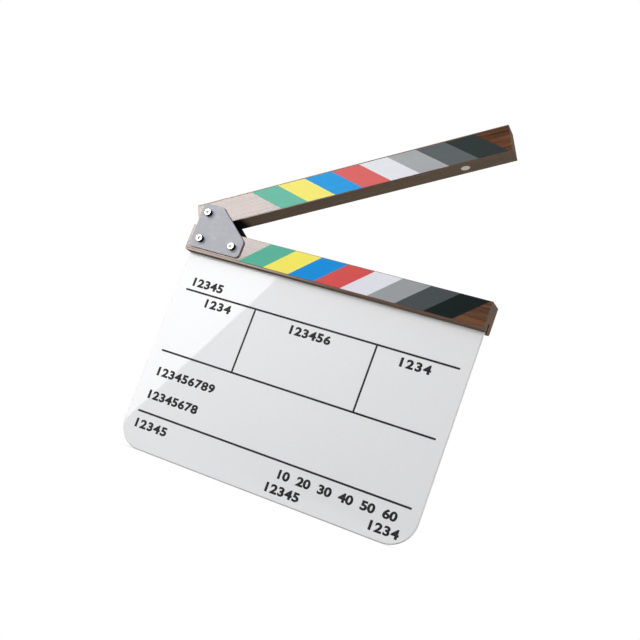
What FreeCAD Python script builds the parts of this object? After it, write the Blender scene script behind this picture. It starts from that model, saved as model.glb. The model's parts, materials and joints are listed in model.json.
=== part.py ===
import FreeCAD, Part
import os
import Sketcher

# A clapperboard. A white acrylic slate hangs in a groove under a hardwood stick, and a second stick
# is hinged over it between two metal plates. Both sticks carry slanted colour
# bands on the front, and a pair of disc magnets holds them shut.
# Millimetres. X runs along the sticks, Z is up, and the front of the slate looks along -Y.
# The origin is the middle of the slate's bottom edge.

PARTS_FOLDER = "parts"
# Distance under which two places count as the same
TOUCH = 1e-4
FULL_TURN = 360
QUARTER_TURN = 90

# Driving sizes
SIZES = {
    # hardwood sticks
    "stick_length": 300.0,
    "stick_thickness": 22.0,
    "lower_height": 25.0,
    "arm_length": 299.1,
    "arm_height": 26.1,
    "outer_round": 1.8,
    "crisp_round": 0.6,
    "closed_gap": 0.3,
    "pivot_inset": 12.75,
    "rest_angle": 27.2,
    # acrylic slate
    "board_thickness": 3.0,
    "board_drop": 190.1,
    "board_inset": 1.2,
    "board_corner": 25.0,
    "board_edge_break": 0.6,
    "tongue_inset": 2.2,
    "groove_depth": 8.0,
    "groove_play": 0.15,
    "groove_headroom": 0.5,
    # slanted colour bands, placed at half a stick's height, with their lean over the lower stick's height
    "band_start": 72.0,
    "band_end": 16.0,
    "band_lean": 29.0,
    "arm_band_shift": 2.5,
    "arm_band_end": 17.6,
    "band_film": 0.12,
    # hinge plates, drawn from the screws outwards
    "plate_thickness": 2.0,
    "plate_side_margin": 10.35,
    "plate_top_margin": 8.9,
    "plate_bottom_margin": 8.55,
    "plate_far_margin": 9.25,
    "plate_top_reach": 12.3,
    "plate_shoulder_rise": 7.95,
    "plate_corner": 4.5,
    "plate_tight_corner": 2.5,
    "plate_edge_break": 0.25,
    "fixing_inset": 14.4,
    "fixing_rise": 12.0,
    "fixing_span": 35.3,
    # socket cap screws and the barrel nuts that take them
    "screw_diameter": 4.0,
    "screw_reach": 16.0,
    "screw_head_diameter": 7.0,
    "screw_head_height": 4.0,
    "screw_head_break": 0.4,
    "socket_across_flats": 3.0,
    "socket_depth": 2.0,
    "barrel_diameter": 6.0,
    "barrel_head_diameter": 9.0,
    "barrel_head_height": 1.8,
    "barrel_end_gap": 0.3,
    "thread_depth": 17.0,
    "thread_play": 0.05,
    "running_play": 0.05,
    "hole_play": 0.1,
    # washers beside the moving stick
    "washer_diameter": 14.0,
    "washer_thickness": 0.4,
    "side_play": 0.05,
    # closing magnets
    "magnet_diameter": 8.0,
    "magnet_height": 3.0,
    # from the free end of the shorter stick
    "magnet_from_end": 44.1,
    "magnet_recess": 0.05,
    # countersunk wood screws that hold the slate in its groove
    "wood_screw_diameter": 3.0,
    "wood_screw_head_diameter": 5.6,
    "wood_screw_length": 16.0,
    "wood_screw_tip": 2.5,
    "wood_screw_from_end": 15.0,
    "wood_screw_pitch": 70.0,
    "recess_length": 2.6,
    "recess_width": 0.7,
    "recess_depth": 1.1,
}
WOOD_SCREW_COUNT = 4
BAND_COLOURS = ["green", "yellow", "blue", "red", "white", "light_grey", "dark_grey", "black"]

# Places worked out from the driving sizes
PIVOT_INSET = "sizes.pivot_inset"
PIVOT_RISE = f"(sizes.lower_height + sizes.closed_gap + {PIVOT_INSET})"
FIXING_RISE = "sizes.fixing_rise"
FIXING_PLACES = ("sizes.fixing_inset", "(sizes.fixing_inset + sizes.fixing_span)")
ARM_INSET = "(sizes.washer_thickness + sizes.side_play)"
ARM_THICKNESS = f"(sizes.stick_thickness - 2 * {ARM_INSET})"
GROOVE_WIDTH = "(sizes.board_thickness + 2 * sizes.groove_play)"
GROOVE_FRONT = f"(sizes.stick_thickness - {GROOVE_WIDTH}) / 2"
GROOVE_BACK = f"(sizes.stick_thickness + {GROOVE_WIDTH}) / 2"
BOARD_SEAT = "(sizes.groove_depth - sizes.groove_headroom)"
BOARD_HEIGHT = f"(sizes.board_drop + {BOARD_SEAT})"
WOOD_SCREW_RISE = "sizes.groove_depth / 2"
BARREL_BORE = "(sizes.barrel_diameter / 2 + sizes.running_play)"
BAND_COUNT = len(BAND_COLOURS)
BAND_PITCH = f"((sizes.stick_length - sizes.band_start - sizes.band_end) / {BAND_COUNT})"
ARM_BAND_START = "(sizes.band_start - sizes.arm_band_shift)"
ARM_BAND_PITCH = f"((sizes.arm_length - {ARM_BAND_START} - sizes.arm_band_end) / {BAND_COUNT})"
BAND_SLOPE = "(sizes.band_lean / sizes.lower_height)"
MAGNET_PLACE = "(min(sizes.stick_length; sizes.arm_length) - sizes.magnet_from_end)"
MAGNET_POCKET = "(sizes.magnet_diameter / 2 + sizes.running_play)"
MAGNET_POCKET_DEPTH = "(sizes.magnet_height + sizes.magnet_recess)"

doc = FreeCAD.newDocument("clapperboard")
sub_parts = []


def fill_sheet():
    """Writes the driving sizes into the document's sheet, one named cell each."""
    sheet = doc.addObject("Spreadsheet::Sheet", "sizes")
    for row, (name, value) in enumerate(SIZES.items(), start=1):
        sheet.set(f"A{row}", name)
        sheet.set(f"B{row}", str(value))
        sheet.setAlias(f"B{row}", name)
    doc.recompute()


def keep(piece, label):
    """Marks a finished piece as a sub-part under its own name."""
    piece.Label = label
    sub_parts.append(piece)
    return piece


def new_body(name):
    return doc.addObject("PartDesign::Body", name)


def seat_on_lower(piece, depth="0"):
    """Sets a piece drawn from the lower stick's front bottom left corner in the object's frame."""
    piece.setExpression("Placement.Base.x", "-sizes.stick_length / 2")
    piece.setExpression("Placement.Base.y", f"-sizes.stick_thickness / 2 + {depth}")
    piece.setExpression("Placement.Base.z", "sizes.board_drop")


def seat_on_arm(piece):
    """Sets a piece drawn from the clap stick's own front bottom left corner, swung up about the pivot."""
    opening = FreeCAD.Rotation(FreeCAD.Vector(0, -1, 0), SIZES["rest_angle"])
    piece.Placement = FreeCAD.Placement(FreeCAD.Vector(), opening)
    swing = "sizes.rest_angle * 1 deg"
    piece.setExpression("Placement.Rotation.Angle", swing)
    piece.setExpression(
        "Placement.Base.x",
        f"-sizes.stick_length / 2 + {PIVOT_INSET} * (1 - cos({swing}) + sin({swing}))")
    piece.setExpression("Placement.Base.y", f"-sizes.stick_thickness / 2 + {ARM_INSET}")
    piece.setExpression(
        "Placement.Base.z",
        f"sizes.board_drop + {PIVOT_RISE} - {PIVOT_INSET} * (cos({swing}) + sin({swing}))")


def sketch_on(body, role, name, lift="0"):
    """Adds a sketch on one of the body's own origin planes, lifted along the plane's normal."""
    plane = next(item for item in body.Origin.OriginFeatures if item.Role == role)
    sketch = body.newObject("Sketcher::SketchObject", name)
    sketch.AttachmentSupport = (plane, "")
    sketch.MapMode = "FlatFace"
    if lift != "0":
        sketch.setExpression("AttachmentOffset.Base.z", lift)
    doc.recompute()
    return sketch


def value_of(sketch, expression):
    return float(sketch.evalExpression(expression))


def pin_point(sketch, geometry, position, across, up):
    """Ties one point of a sketch to two expressions measured from the sketch's origin."""
    for axis, kind, expression in ((-2, "DistanceX", across), (-1, "DistanceY", up)):
        if expression == "0":
            sketch.addConstraint(Sketcher.Constraint("PointOnObject", geometry, position, axis))
            continue
        value = value_of(sketch, expression)
        index = sketch.addConstraint(Sketcher.Constraint(kind, -1, 1, geometry, position, value))
        sketch.setExpression(f"Constraints[{index}]", expression)


def draw_polygon(sketch, corners):
    """Draws a closed outline whose corners are pairs of expressions."""
    points = [FreeCAD.Vector(value_of(sketch, a), value_of(sketch, b), 0) for a, b in corners]
    count = len(points)
    for index in range(count):
        sketch.addGeometry(Part.LineSegment(points[index], points[(index + 1) % count]))
    for index in range(count):
        sketch.addConstraint(Sketcher.Constraint("Coincident", index, 2, (index + 1) % count, 1))
    for index, (across, up) in enumerate(corners):
        pin_point(sketch, index, 1, across, up)


def draw_circle(sketch, across, up, radius):
    """Draws a circle whose centre and radius are expressions."""
    size = value_of(sketch, radius)
    centre = FreeCAD.Vector(value_of(sketch, across), value_of(sketch, up), 0)
    geometry = sketch.addGeometry(Part.Circle(centre, FreeCAD.Vector(0, 0, 1), size))
    pin_point(sketch, geometry, 3, across, up)
    index = sketch.addConstraint(Sketcher.Constraint("Radius", geometry, size))
    sketch.setExpression(f"Constraints[{index}]", radius)


def pad(body, sketch, length, reverse=False):
    feature = body.newObject("PartDesign::Pad", "Pad")
    feature.Profile = sketch
    feature.Reversed = reverse
    feature.setExpression("Length", length)
    doc.recompute()
    return feature


def pocket(body, sketch, depth=None, reverse=False):
    """Cuts a sketch into the body against the sketch's normal, right through unless a depth is given."""
    before = body.Shape.Volume
    feature = body.newObject("PartDesign::Pocket", "Pocket")
    feature.Profile = sketch
    feature.Reversed = reverse
    if depth is None:
        feature.Type = "ThroughAll"
    else:
        feature.setExpression("Length", depth)
    doc.recompute()
    if not body.Shape.Volume < before:
        raise RuntimeError(f"{body.Name}: {sketch.Name} cuts nothing")
    return feature


def turn(body, sketch):
    """Turns a half profile about the sketch's upright axis."""
    feature = body.newObject("PartDesign::Revolution", "Revolution")
    feature.Profile = sketch
    feature.ReferenceAxis = (sketch, ["V_Axis"])
    feature.Angle = FULL_TURN
    doc.recompute()
    return feature


def edge_names(feature, wanted):
    """Names the edges of a feature that a test picks."""
    return [f"Edge{index}" for index, edge in enumerate(feature.Shape.Edges, start=1) if wanted(edge)]


def lies_at(edge, axis, level):
    """Says whether a whole edge lies in the plane where one coordinate has the given value."""
    box = edge.BoundBox
    low, high = getattr(box, axis + "Min"), getattr(box, axis + "Max")
    return abs(low - level) < TOUCH and abs(high - level) < TOUCH


def dress(body, kind, size_name, feature, wanted, size):
    """Rounds or chamfers the picked edges of a feature by one size."""
    names = edge_names(feature, wanted)
    if not names:
        raise RuntimeError(f"{body.Name}: no edge to dress with {size}")
    dressed = body.newObject(f"PartDesign::{kind}", kind)
    dressed.Base = (feature, names)
    dressed.setExpression(size_name, size)
    doc.recompute()
    return dressed


def round_edges(body, feature, wanted, radius):
    return dress(body, "Fillet", "Radius", feature, wanted, radius)


def chamfer_edges(body, feature, wanted, size):
    return dress(body, "Chamfer", "Size", feature, wanted, size)


def round_corners(body, feature, corners, radius):
    """Rounds the front-to-back edges that stand at the given corners of a piece's face."""
    places = [(value_of(body, across), value_of(body, up)) for across, up in corners]

    def stands_at_a_corner(edge):
        return any(lies_at(edge, "X", across) and lies_at(edge, "Z", up) for across, up in places)

    return round_edges(body, feature, stands_at_a_corner, radius)


def ease_front_and_back(body, feature, thickness, sides, radius):
    """Rounds the front and back edges of a stick along the given sides, as sanding leaves them."""
    depth = value_of(body, thickness)
    planes = [(axis, value_of(body, level)) for axis, level in sides]

    def is_eased(edge):
        bounds_a_face = lies_at(edge, "Y", 0) or lies_at(edge, "Y", depth)
        return bounds_a_face and any(lies_at(edge, axis, level) for axis, level in planes)

    return round_edges(body, feature, is_eased, radius)


def wood_screw_places():
    """Distances of the slate's screws from the hinge end, as expressions."""
    return [
        f"(sizes.stick_length - sizes.wood_screw_from_end - {index} * sizes.wood_screw_pitch)"
        for index in range(WOOD_SCREW_COUNT)]


def build_board():
    """White acrylic slate: rounded lower corners, and a tongue that stops short of the groove's ends."""
    body = new_body("acrylic_board_body")
    left = "sizes.board_inset"
    right = "(sizes.stick_length - sizes.board_inset)"
    tongue_left = "(sizes.board_inset + sizes.tongue_inset)"
    tongue_right = "(sizes.stick_length - sizes.board_inset - sizes.tongue_inset)"
    outline = sketch_on(body, "XZ_Plane", "board_outline")
    draw_polygon(outline, [
        (left, "0"),
        (right, "0"),
        (right, "sizes.board_drop"),
        (tongue_right, "sizes.board_drop"),
        (tongue_right, BOARD_HEIGHT),
        (tongue_left, BOARD_HEIGHT),
        (tongue_left, "sizes.board_drop"),
        (left, "sizes.board_drop")])
    sheet_pad = pad(body, outline, "sizes.board_thickness", reverse=True)
    rounded = round_corners(body, sheet_pad, [(left, "0"), (right, "0")], "sizes.board_corner")
    depth = value_of(body, "sizes.board_thickness")
    shoulder = value_of(body, "sizes.board_drop")

    def hangs_free(edge):
        bounds_a_face = lies_at(edge, "Y", 0) or lies_at(edge, "Y", depth)
        reach = edge.BoundBox
        return bounds_a_face and reach.ZMin < shoulder - TOUCH and reach.ZMax < shoulder + TOUCH

    chamfer_edges(body, rounded, hangs_free, "sizes.board_edge_break")
    holes = sketch_on(body, "XZ_Plane", "board_holes")
    for place in wood_screw_places():
        draw_circle(
            holes, place, f"(sizes.board_drop + {WOOD_SCREW_RISE})",
            "(sizes.wood_screw_diameter / 2 + sizes.hole_play)")
    pocket(body, holes)
    body.setExpression("Placement.Base.x", "-sizes.stick_length / 2")
    body.setExpression("Placement.Base.y", "-sizes.board_thickness / 2")
    keep(body, "acrylic_board")


def add_cutter(body, kind, name, sizes, across, depth, up):
    """Cuts a round shape whose axis runs from back to front, starting at the given depth."""
    cutter = body.newObject(f"PartDesign::Subtractive{kind}", name)
    towards_front = FreeCAD.Rotation(FreeCAD.Vector(1, 0, 0), QUARTER_TURN)
    cutter.Placement = FreeCAD.Placement(FreeCAD.Vector(), towards_front)
    for property_name, expression in sizes.items():
        cutter.setExpression(property_name, expression)
    cutter.setExpression("Placement.Base.x", across)
    cutter.setExpression("Placement.Base.y", depth)
    cutter.setExpression("Placement.Base.z", up)
    doc.recompute()


def build_lower_stick():
    """Fixed stick: grooved underneath for the slate, bored for the hinge, drilled from the back."""
    body = new_body("lower_stick_body")
    section = sketch_on(body, "YZ_Plane", "lower_section")
    draw_polygon(section, [
        ("0", "0"),
        (GROOVE_FRONT, "0"),
        (GROOVE_FRONT, "sizes.groove_depth"),
        (GROOVE_BACK, "sizes.groove_depth"),
        (GROOVE_BACK, "0"),
        ("sizes.stick_thickness", "0"),
        ("sizes.stick_thickness", "sizes.lower_height"),
        ("0", "sizes.lower_height")])
    bar = pad(body, section, "sizes.stick_length")
    crisp_sides = [("Z", "sizes.lower_height"), ("X", "0"), ("X", "sizes.stick_length")]
    eased = ease_front_and_back(body, bar, "sizes.stick_thickness", [("Z", "0")], "sizes.outer_round")
    ease_front_and_back(body, eased, "sizes.stick_thickness", crisp_sides, "sizes.crisp_round")
    bores = sketch_on(body, "XZ_Plane", "fixing_bores")
    for place in FIXING_PLACES:
        draw_circle(bores, place, FIXING_RISE, BARREL_BORE)
    pocket(body, bores)
    magnet_seat = sketch_on(body, "XY_Plane", "magnet_seat", "sizes.lower_height")
    draw_circle(magnet_seat, MAGNET_PLACE, "sizes.stick_thickness / 2", MAGNET_POCKET)
    pocket(body, magnet_seat, MAGNET_POCKET_DEPTH)
    back = "sizes.stick_thickness"
    pilot = {
        "Radius": "sizes.wood_screw_diameter / 2 + sizes.thread_play",
        "Height": "sizes.wood_screw_length + sizes.hole_play"}
    sink = {
        "Radius1": "sizes.wood_screw_head_diameter / 2 + sizes.hole_play",
        "Radius2": "sizes.wood_screw_diameter / 2 + sizes.thread_play",
        "Height": "(sizes.wood_screw_head_diameter - sizes.wood_screw_diameter) / 2 + sizes.hole_play"}
    for index, place in enumerate(wood_screw_places()):
        add_cutter(body, "Cylinder", f"pilot_{index}", pilot, place, back, WOOD_SCREW_RISE)
        add_cutter(body, "Cone", f"sink_{index}", sink, place, back, WOOD_SCREW_RISE)
    seat_on_lower(body)
    keep(body, "lower_stick")


def build_upper_stick():
    """Clap stick: its lower hinge corner is round about the pivot, so it can swing up to its square end."""
    body = new_body("upper_stick_body")
    face = sketch_on(body, "XZ_Plane", "upper_face")
    draw_polygon(face, [
        ("0", "0"),
        ("sizes.arm_length", "0"),
        ("sizes.arm_length", "sizes.arm_height"),
        ("0", "sizes.arm_height")])
    bar = pad(body, face, ARM_THICKNESS, reverse=True)
    heel = round_corners(body, bar, [("0", "0")], PIVOT_INSET)
    crisp_sides = [("Z", "0"), ("X", "sizes.arm_length")]
    eased = ease_front_and_back(body, heel, ARM_THICKNESS, [("Z", "sizes.arm_height")], "sizes.outer_round")
    ease_front_and_back(body, eased, ARM_THICKNESS, crisp_sides, "sizes.crisp_round")
    bore = sketch_on(body, "XZ_Plane", "pivot_bore")
    draw_circle(bore, PIVOT_INSET, PIVOT_INSET, BARREL_BORE)
    pocket(body, bore)
    magnet_seat = sketch_on(body, "XY_Plane", "magnet_seat_up")
    draw_circle(magnet_seat, MAGNET_PLACE, f"{ARM_THICKNESS} / 2", MAGNET_POCKET)
    pocket(body, magnet_seat, MAGNET_POCKET_DEPTH, reverse=True)
    seat_on_arm(body)
    keep(body, "upper_stick")


def build_magnets():
    """Disc magnets let in flush, where the fixed stick's top and the clap stick's underside meet."""
    radius = "sizes.magnet_diameter / 2"
    lower = new_body("lower_magnet_body")
    seat_floor = f"(sizes.lower_height - {MAGNET_POCKET_DEPTH})"
    lower_face = sketch_on(lower, "XY_Plane", "lower_magnet_face", seat_floor)
    draw_circle(lower_face, MAGNET_PLACE, "sizes.stick_thickness / 2", radius)
    pad(lower, lower_face, "sizes.magnet_height")
    seat_on_lower(lower)
    keep(lower, "lower_magnet")
    upper = new_body("upper_magnet_body")
    upper_face = sketch_on(upper, "XY_Plane", "upper_magnet_face", "sizes.magnet_recess")
    draw_circle(upper_face, MAGNET_PLACE, f"{ARM_THICKNESS} / 2", radius)
    pad(upper, upper_face, "sizes.magnet_height")
    seat_on_arm(upper)
    keep(upper, "upper_magnet")


def build_bands():
    """Slanted colour bands on both sticks, mirrored so that they make chevrons when the sticks are shut."""
    lower_face = ("sizes.outer_round", "(sizes.lower_height - sizes.crisp_round)")
    arm_face = ("sizes.crisp_round", "(sizes.arm_height - sizes.outer_round)")
    lower_run = ("sizes.band_start", BAND_PITCH, BAND_SLOPE)
    arm_run = (ARM_BAND_START, ARM_BAND_PITCH, f"(-{BAND_SLOPE})")
    sticks = (
        ("lower", seat_on_lower, "sizes.lower_height", lower_face, lower_run),
        ("upper", seat_on_arm, "sizes.arm_height", arm_face, arm_run))
    for stick, seat, height, (low, high), (start, pitch, slope) in sticks:
        for index, colour in enumerate(BAND_COLOURS):
            near = f"{start} + {index} * {pitch}"
            foot = f"({near} + {slope} * ({low} - {height} / 2))"
            head = f"({near} + {slope} * ({high} - {height} / 2))"
            body = new_body(f"{stick}_band_{colour}_body")
            face = sketch_on(body, "XZ_Plane", f"{stick}_{colour}_face")
            draw_polygon(face, [
                (foot, low),
                (f"({foot} + {pitch})", low),
                (f"({head} + {pitch})", high),
                (head, high)])
            pad(body, face, "sizes.band_film")
            seat(body)
            keep(body, f"{stick}_band_{colour}")


def build_plate(label, depth, outer_face):
    """One hinge plate, held by two screws on the fixed stick and carrying the pivot above them."""
    body = new_body(f"{label}_body")
    left = f"({FIXING_PLACES[0]} - sizes.plate_side_margin)"
    right = f"({FIXING_PLACES[1]} + sizes.plate_far_margin)"
    bottom = f"({FIXING_RISE} - sizes.plate_bottom_margin)"
    top = f"({PIVOT_RISE} + sizes.plate_top_margin)"
    top_right = f"({PIVOT_INSET} + sizes.plate_top_reach)"
    shoulder = f"({FIXING_RISE} + sizes.plate_shoulder_rise)"
    wide_corners = [(right, bottom), (right, shoulder), (left, top)]
    tight_corners = [(left, bottom), (top_right, top)]
    outline = sketch_on(body, "XZ_Plane", f"{label}_outline")
    draw_polygon(outline, [
        (left, bottom),
        (right, bottom),
        (right, shoulder),
        (top_right, top),
        (left, top)])
    slab = pad(body, outline, "sizes.plate_thickness", reverse=True)
    softened = round_corners(body, slab, wide_corners, "sizes.plate_corner")
    rounded = round_corners(body, softened, tight_corners, "sizes.plate_tight_corner")
    face_level = value_of(body, outer_face)
    chamfer_edges(body, rounded, lambda edge: lies_at(edge, "Y", face_level), "sizes.plate_edge_break")
    is_front = outer_face == "0"
    hole = "(sizes.screw_diameter / 2 + sizes.hole_play)" if is_front else BARREL_BORE
    holes = sketch_on(body, "XZ_Plane", f"{label}_holes")
    draw_circle(holes, PIVOT_INSET, PIVOT_RISE, hole)
    for place in FIXING_PLACES:
        draw_circle(holes, place, FIXING_RISE, hole)
    pocket(body, holes)
    seat_on_lower(body, depth)
    keep(body, label)


def place_turned(piece, facing, across, depth, up):
    """Lays a turned piece along the depth: facing 1 starts at the front and -1 at the back."""
    along_depth = FreeCAD.Rotation(FreeCAD.Vector(1, 0, 0), -QUARTER_TURN * facing)
    piece.Placement = FreeCAD.Placement(FreeCAD.Vector(), along_depth)
    piece.setExpression("Placement.Base.x", f"-sizes.stick_length / 2 + {across}")
    piece.setExpression("Placement.Base.y", f"-sizes.stick_thickness / 2 + {depth}")
    piece.setExpression("Placement.Base.z", f"sizes.board_drop + {up}")
    doc.recompute()


def cut_socket(body):
    """Hexagon socket in the end face of a turned head."""
    socket = body.newObject("PartDesign::SubtractivePrism", "socket")
    socket.Polygon = 6
    socket.setExpression("Circumradius", "sizes.socket_across_flats / 2 / cos(30 deg)")
    socket.setExpression("Height", "sizes.socket_depth")
    doc.recompute()


def socket_screw(name, across, up):
    """Socket cap screw, drawn from the top of its head, with the thread left as a plain shank."""
    body = new_body(name)
    head = "sizes.screw_head_diameter / 2"
    shank = "sizes.screw_diameter / 2"
    tip = "(sizes.screw_head_height + sizes.screw_reach)"
    profile = sketch_on(body, "XZ_Plane", f"{name}_profile")
    draw_polygon(profile, [
        ("0", "0"),
        (f"({head} - sizes.screw_head_break)", "0"),
        (head, "sizes.screw_head_break"),
        (head, "sizes.screw_head_height"),
        (shank, "sizes.screw_head_height"),
        (shank, f"({tip} - sizes.screw_head_break)"),
        (f"({shank} - sizes.screw_head_break)", tip),
        ("0", tip)])
    turn(body, profile)
    cut_socket(body)
    place_turned(body, 1, across, "(-sizes.plate_thickness - sizes.screw_head_height)", up)
    return body


def barrel_nut(name, across, up):
    """Barrel nut from the back: a flat head and a sleeve that reaches almost to the front plate."""
    body = new_body(name)
    head = "sizes.barrel_head_diameter / 2"
    sleeve = "sizes.barrel_diameter / 2"
    bore = "(sizes.screw_diameter / 2 + sizes.thread_play)"
    back = "(sizes.stick_thickness + sizes.plate_thickness + sizes.barrel_head_height)"
    mouth = f"({back} - sizes.barrel_end_gap)"
    floor = f"({mouth} - sizes.thread_depth)"
    profile = sketch_on(body, "XZ_Plane", f"{name}_profile")
    draw_polygon(profile, [
        ("0", "0"),
        (f"({head} - sizes.screw_head_break)", "0"),
        (head, "sizes.screw_head_break"),
        (head, "sizes.barrel_head_height"),
        (sleeve, "sizes.barrel_head_height"),
        (sleeve, mouth),
        (bore, mouth),
        (bore, floor),
        ("0", floor)])
    turn(body, profile)
    cut_socket(body)
    place_turned(body, -1, across, back, up)
    return body


def group(label, pieces):
    """Collects like pieces into one sub-part of separate solids."""
    gathered = doc.addObject("Part::Compound", f"{label}_group")
    gathered.Links = pieces
    doc.recompute()
    keep(gathered, label)


def build_hinge_hardware():
    """Pivot screw, two fixing screws, and the barrel nuts behind them."""
    keep(socket_screw("pivot_screw_body", PIVOT_INSET, PIVOT_RISE), "pivot_screw")
    keep(barrel_nut("pivot_barrel_body", PIVOT_INSET, PIVOT_RISE), "pivot_barrel_nut")
    fixings = list(enumerate(FIXING_PLACES))
    group("fixing_screws", [
        socket_screw(f"fixing_screw_{index}", place, FIXING_RISE) for index, place in fixings])
    group("fixing_barrel_nuts", [
        barrel_nut(f"fixing_barrel_{index}", place, FIXING_RISE) for index, place in fixings])


def build_washers():
    """Thin washers on the pivot, one each side of the clap stick."""
    washers = []
    for side, depth in (("front", "0"), ("back", "(sizes.stick_thickness - sizes.washer_thickness)")):
        body = new_body(f"{side}_washer")
        ring = sketch_on(body, "XZ_Plane", f"{side}_washer_ring")
        draw_circle(ring, PIVOT_INSET, PIVOT_RISE, "sizes.washer_diameter / 2")
        draw_circle(ring, PIVOT_INSET, PIVOT_RISE, BARREL_BORE)
        pad(body, ring, "sizes.washer_thickness", reverse=True)
        seat_on_lower(body, depth)
        washers.append(body)
    group("pivot_washers", washers)


def wood_screw(name, across):
    """Countersunk wood screw with a crossed recess, driven from the back through the slate."""
    body = new_body(name)
    head = "sizes.wood_screw_head_diameter / 2"
    shank = "sizes.wood_screw_diameter / 2"
    profile = sketch_on(body, "XZ_Plane", f"{name}_profile")
    draw_polygon(profile, [
        ("0", "0"),
        (head, "0"),
        (shank, f"({head} - {shank})"),
        (shank, "(sizes.wood_screw_length - sizes.wood_screw_tip)"),
        ("0", "sizes.wood_screw_length")])
    turn(body, profile)
    for arm, (long_side, short_side) in enumerate((("Length", "Width"), ("Width", "Length"))):
        slot = body.newObject("PartDesign::SubtractiveBox", f"recess_{arm}")
        slot.setExpression(long_side, "sizes.recess_length")
        slot.setExpression(short_side, "sizes.recess_width")
        slot.setExpression("Height", "sizes.recess_depth")
        slot.setExpression("Placement.Base.x", f"-{slot.Name}.Length / 2")
        slot.setExpression("Placement.Base.y", f"-{slot.Name}.Width / 2")
        doc.recompute()
    place_turned(body, -1, across, "sizes.stick_thickness", WOOD_SCREW_RISE)
    return body


def build_board_screws():
    group("board_screws", [
        wood_screw(f"board_screw_{index}", place) for index, place in enumerate(wood_screw_places())])


def check_and_write():
    """Stops on any failed object or bad shape, then writes one file for each sub-part."""
    doc.recompute()
    failed = [item.Name for item in doc.Objects if "Invalid" in item.State or "Error" in item.State]
    if failed:
        raise RuntimeError(f"failed objects: {failed}")
    for piece in sub_parts:
        if piece.Shape.isNull() or not piece.Shape.isValid() or not piece.Shape.Solids:
            raise RuntimeError(f"bad shape: {piece.Label}")
    os.makedirs(PARTS_FOLDER, exist_ok=True)
    for piece in sub_parts:
        piece.Shape.exportStep(f"{PARTS_FOLDER}/{piece.Label}.step")
        solids = piece.Shape.Solids
        volume = sum(solid.Volume for solid in solids)
        print(f"{piece.Label}: {len(solids)} solid(s), {volume:.1f} mm3")


fill_sheet()
build_board()
build_lower_stick()
build_upper_stick()
build_magnets()
build_bands()
build_plate("front_hinge_plate", "(-sizes.plate_thickness)", "0")
build_plate("back_hinge_plate", "sizes.stick_thickness", "sizes.plate_thickness")
build_hinge_hardware()
build_washers()
build_board_screws()
check_and_write()
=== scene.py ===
import json
import math

import bmesh
import bpy
from bpy.props import FloatProperty, FloatVectorProperty, PointerProperty
from mathutils import Matrix, Vector


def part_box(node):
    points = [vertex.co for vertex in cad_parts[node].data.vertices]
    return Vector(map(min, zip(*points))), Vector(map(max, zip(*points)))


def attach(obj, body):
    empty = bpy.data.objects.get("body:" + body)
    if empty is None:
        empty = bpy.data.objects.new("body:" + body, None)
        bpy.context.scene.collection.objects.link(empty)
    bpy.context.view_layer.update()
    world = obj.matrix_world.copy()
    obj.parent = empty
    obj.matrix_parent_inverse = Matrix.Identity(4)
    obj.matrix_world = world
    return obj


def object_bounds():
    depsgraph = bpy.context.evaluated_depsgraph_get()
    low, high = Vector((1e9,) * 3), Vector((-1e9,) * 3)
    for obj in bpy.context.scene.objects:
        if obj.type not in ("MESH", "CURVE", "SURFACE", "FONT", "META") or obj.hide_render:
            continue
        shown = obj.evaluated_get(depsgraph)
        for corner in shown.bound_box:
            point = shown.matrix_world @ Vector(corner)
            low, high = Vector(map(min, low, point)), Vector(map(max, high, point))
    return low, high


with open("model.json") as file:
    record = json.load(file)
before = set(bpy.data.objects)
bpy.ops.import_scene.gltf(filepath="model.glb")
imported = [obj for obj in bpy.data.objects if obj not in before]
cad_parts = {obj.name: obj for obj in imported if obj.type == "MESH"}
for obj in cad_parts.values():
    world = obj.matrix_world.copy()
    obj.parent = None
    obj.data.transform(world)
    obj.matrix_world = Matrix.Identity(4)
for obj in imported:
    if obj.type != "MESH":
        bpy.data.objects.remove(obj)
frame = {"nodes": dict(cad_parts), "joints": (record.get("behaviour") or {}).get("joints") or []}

bl_info = {
    "name": "Clapperboard looks",
    "version": (1, 0, 0),
    "blender": (4, 5, 0),
    "location": "View3D > Sidebar > Clapperboard",
    "description": "Finishes, printed form and studio for a clapperboard with a hinged clap stick",
    "category": "Object",
}

# Places read from the frame
CAD_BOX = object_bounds()
HINGE = frame["joints"][0]
PIVOT = Vector(HINGE["pos_m"])
REST_ANGLE = math.radians(-HINGE["range_deg"][0])
BOARD_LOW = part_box("acrylic_board")[0]
STICK_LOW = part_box("lower_stick")[0]

# Bands on each stick, from the hinge to the free end
BAND_COLOURS = ("green", "yellow", "blue", "red", "white", "light_grey", "dark_grey", "black")


# Settings that a user would change

def length(name, description, default):
    return FloatProperty(name=name, description=description, default=default, precision=5, unit="LENGTH")


def amount(name, description, default):
    return FloatProperty(name=name, description=description, default=default, precision=4)


def angle(name, description, degrees):
    return FloatProperty(name=name, description=description, default=math.radians(degrees), unit="ROTATION")


def colour(name, description, default):
    return FloatVectorProperty(
        name=name, description=description, default=default, size=3, min=0, max=1, subtype="COLOR")


def place(name, description, default):
    return FloatVectorProperty(
        name=name, description=description, default=default, size=3, precision=5, subtype="TRANSLATION")


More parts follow.
